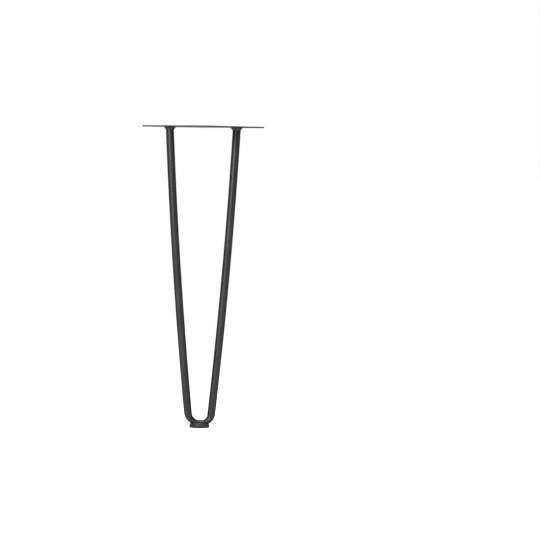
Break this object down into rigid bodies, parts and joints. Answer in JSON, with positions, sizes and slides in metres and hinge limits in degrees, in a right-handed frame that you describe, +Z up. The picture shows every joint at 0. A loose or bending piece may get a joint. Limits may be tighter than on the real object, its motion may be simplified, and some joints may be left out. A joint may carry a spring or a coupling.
{
  "type": "hairpin table leg",
  "caption": "Steel hairpin table leg: a round rod bent into a narrow V, welded under a square screw-on plate and onto a small round foot.",
  "frame": {"origin": "middle of the mounting plate's top face, which lies against the table", "axes": "+Z up out of the plate's top face; the V lies in the XZ plane along the plate's diagonal; the foot is at the bottom, at -Z"},
  "size_m": [0.1432, 0.1432, 0.3556],
  "materials": {
    "plate_steel": "satin",
    "rod_steel": "satin",
    "foot_steel": "satin",
    "weld_metal": "satin"
  },
  "bodies": {
    "root": {"mounting_plate": "plate_steel", "hairpin_rod": "rod_steel", "foot_disc": "foot_steel", "plate_weld_left": "weld_metal", "plate_weld_right": "weld_metal", "foot_weld": "weld_metal"}
  },
  "joints": []
}
